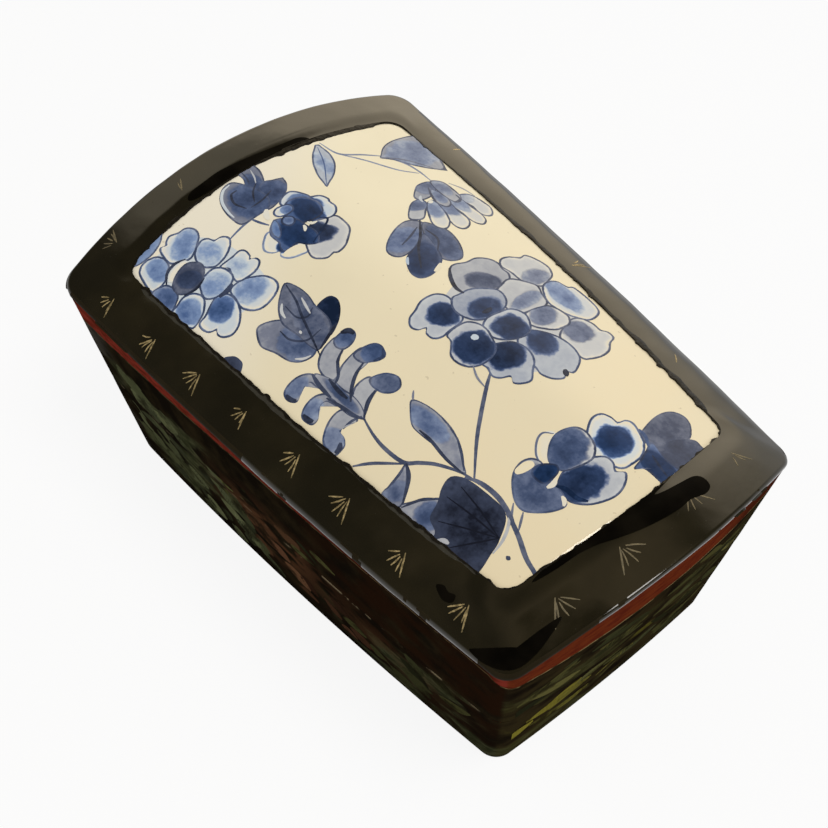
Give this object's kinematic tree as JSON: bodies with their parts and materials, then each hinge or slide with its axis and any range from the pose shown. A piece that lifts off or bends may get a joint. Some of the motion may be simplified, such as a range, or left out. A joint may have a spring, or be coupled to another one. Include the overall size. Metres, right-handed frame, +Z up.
{
  "type": "lidded trinket box",
  "caption": "Small lacquered wooden trinket box with tapered walls, a lift-off lid and an arched top framing a piece of blue and white porcelain.",
  "frame": {"origin": "centre of the whole box's footprint, on the surface it stands on", "axes": "+Z up; +X along the box's length towards its narrow end; -Y is the front"},
  "size_m": [0.1328, 0.0892, 0.0613],
  "materials": {
    "black_lacquer_wood": "gloss",
    "red_lacquer_wood": "satin",
    "lime_paste": "matte",
    "blue_white_porcelain": "gloss",
    "lacquer_putty": "satin"
  },
  "bodies": {
    "base": {"base_floor_board": "black_lacquer_wood", "base_front_wall": "black_lacquer_wood", "base_narrow_end_wall": "black_lacquer_wood", "base_back_wall": "black_lacquer_wood", "base_wide_end_wall": "black_lacquer_wood", "base_front_lip": "red_lacquer_wood", "base_narrow_end_lip": "red_lacquer_wood", "base_back_lip": "red_lacquer_wood", "base_wide_end_lip": "red_lacquer_wood"},
    "lid": {"lid_front_wall": "black_lacquer_wood", "lid_narrow_end_wall": "black_lacquer_wood", "lid_back_wall": "black_lacquer_wood", "lid_wide_end_wall": "black_lacquer_wood", "top_front_rail": "black_lacquer_wood", "top_narrow_end_rail": "black_lacquer_wood", "top_back_rail": "black_lacquer_wood", "top_wide_end_rail": "black_lacquer_wood", "ceiling_board": "red_lacquer_wood", "bedding_paste": "lime_paste", "porcelain_shard": "blue_white_porcelain", "putty_bead": "lacquer_putty"}
  },
  "joints": [
    {"name": "lid_lift", "type": "slide", "parent": "base", "child": "lid", "axis": [0, 0, 1], "range_m": [0, 0.06]}
  ]
}
